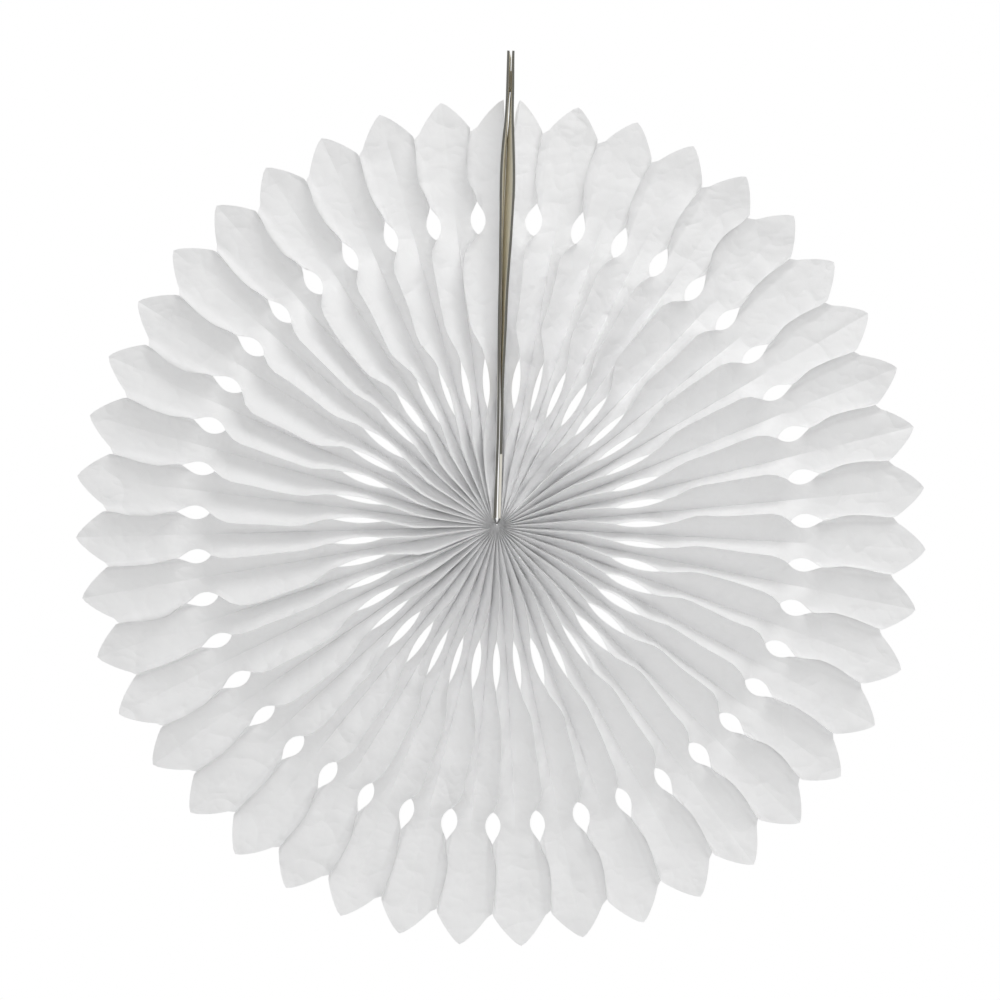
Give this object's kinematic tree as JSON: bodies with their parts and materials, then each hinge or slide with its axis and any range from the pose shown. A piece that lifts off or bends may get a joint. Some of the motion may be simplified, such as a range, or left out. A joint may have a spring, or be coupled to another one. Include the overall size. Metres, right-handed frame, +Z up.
{
  "type": "paper fan rosette",
  "caption": "Hanging paper rosette: one accordion-pleated sheet opened to a full circle, with pointed petals and two rings of leaf-shaped cut-outs, closed along a pair of card strips.",
  "frame": {"origin": "middle of the hanging hole, between the two strips", "axes": "+X along the hanging hole, to the right seen from the front; -Y towards the viewer; +Z up, along the seam"},
  "size_m": [0.4496, 0.0176, 0.4712],
  "materials": {
    "paper": "soft matt translucent white",
    "greyboard": "matt grey board",
    "tape": "matt double-sided tape"
  },
  "bodies": {
    "root": {"pleated_paper": "paper", "left_strip": "greyboard", "right_strip": "greyboard", "adhesive_tape": "tape"}
  },
  "joints": []
}
